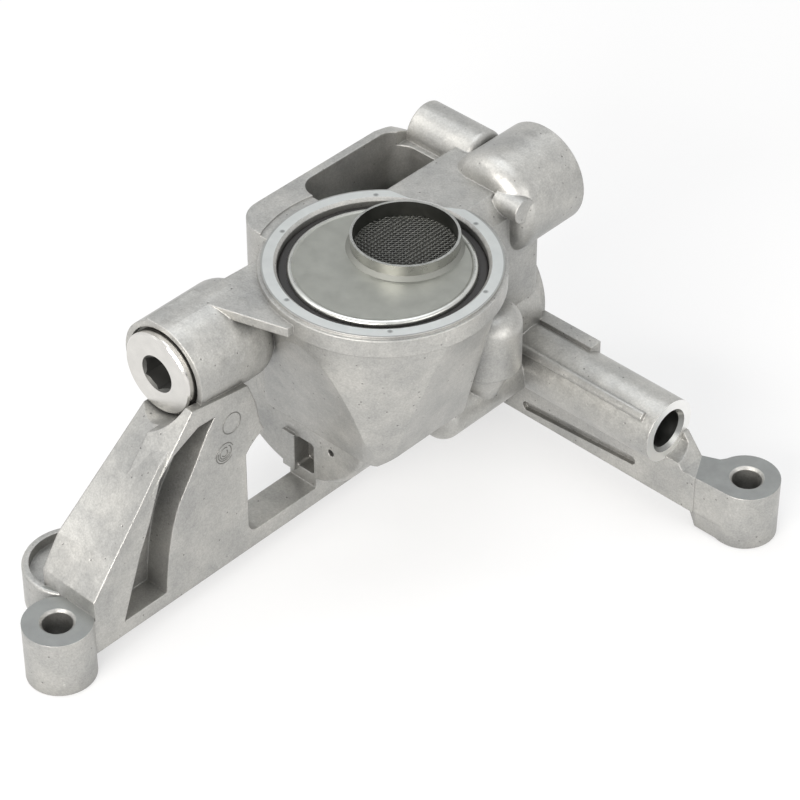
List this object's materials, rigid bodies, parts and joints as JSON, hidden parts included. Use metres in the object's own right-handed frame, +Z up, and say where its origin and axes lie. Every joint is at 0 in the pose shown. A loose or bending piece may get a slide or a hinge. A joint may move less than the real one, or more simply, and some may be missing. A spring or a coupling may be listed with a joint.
{
  "type": "engine oil pump",
  "caption": "Rotor oil pump with a strainer bowl on top, two cast legs with bolt feet, a relief valve behind a hexagon-socket plug, a control valve nose and an outlet tube.",
  "frame": {"origin": "centre of the left foot's bolt hole on the seating plane under the feet", "axes": "+Z up from the seating plane to the strainer, +Y from the left foot past the bowl to the rear cover, +X along the outlet tube"},
  "size_m": [0.1482, 0.2031, 0.1017],
  "materials": {
    "cast_aluminium": "as-cast satin",
    "zinc_steel": "bright zinc plated",
    "ground_steel": "ground",
    "sintered_steel": "sintered, satin",
    "bush_bronze": "satin",
    "spring_steel": "oiled dark",
    "washer_aluminium": "satin",
    "sheet_steel": "dull pressed sheet",
    "woven_steel": "woven gauze",
    "black_rubber": "matt"
  },
  "bodies": {
    "casing": {"housing": "cast_aluminium", "rear_cover": "cast_aluminium", "cover_bolts": "zinc_steel", "cover_dowels": "ground_steel", "front_bush": "bush_bronze", "rear_bush": "bush_bronze", "relief_spring": "spring_steel", "relief_plug": "zinc_steel", "plug_washer": "washer_aluminium", "control_spring": "spring_steel", "control_cap": "zinc_steel", "control_circlip": "spring_steel", "strainer_dish": "sheet_steel", "mesh_ring": "sheet_steel", "strainer_mesh": "woven_steel", "strainer_seal": "black_rubber"},
    "drive": {"drive_shaft": "ground_steel", "drive_key": "ground_steel", "inner_rotor": "sintered_steel"},
    "outer_gear": {"outer_rotor": "sintered_steel"},
    "relief_valve": {"relief_piston": "ground_steel"},
    "control_valve": {"control_piston": "ground_steel"}
  },
  "joints": [
    {"name": "shaft_spin", "type": "hinge", "parent": "casing", "child": "drive", "pos_m": [-0.001, 0.177, 0.0435], "axis": [0, 1, 0], "continuous": true},
    {"name": "outer_rotor_spin", "type": "hinge", "parent": "casing", "child": "outer_gear", "pos_m": [-0.001, 0.177, 0.0457], "axis": [0, 1, 0], "continuous": true},
    {"name": "relief_slide", "type": "slide", "parent": "casing", "child": "relief_valve", "axis": [0, -1, 0], "range_m": [0, 0.004], "stiffness_N_per_m": 6000, "springref_m": -0.004, "deforming": ["relief_spring"]},
    {"name": "control_slide", "type": "slide", "parent": "casing", "child": "control_valve", "axis": [0, 1, 0], "range_m": [0, 0.004], "stiffness_N_per_m": 4000, "springref_m": -0.004, "deforming": ["control_spring"]}
  ],
  "couplings": [
    {"joint": "outer_rotor_spin", "follows": "shaft_spin", "ratio": 0.85714}
  ]
}
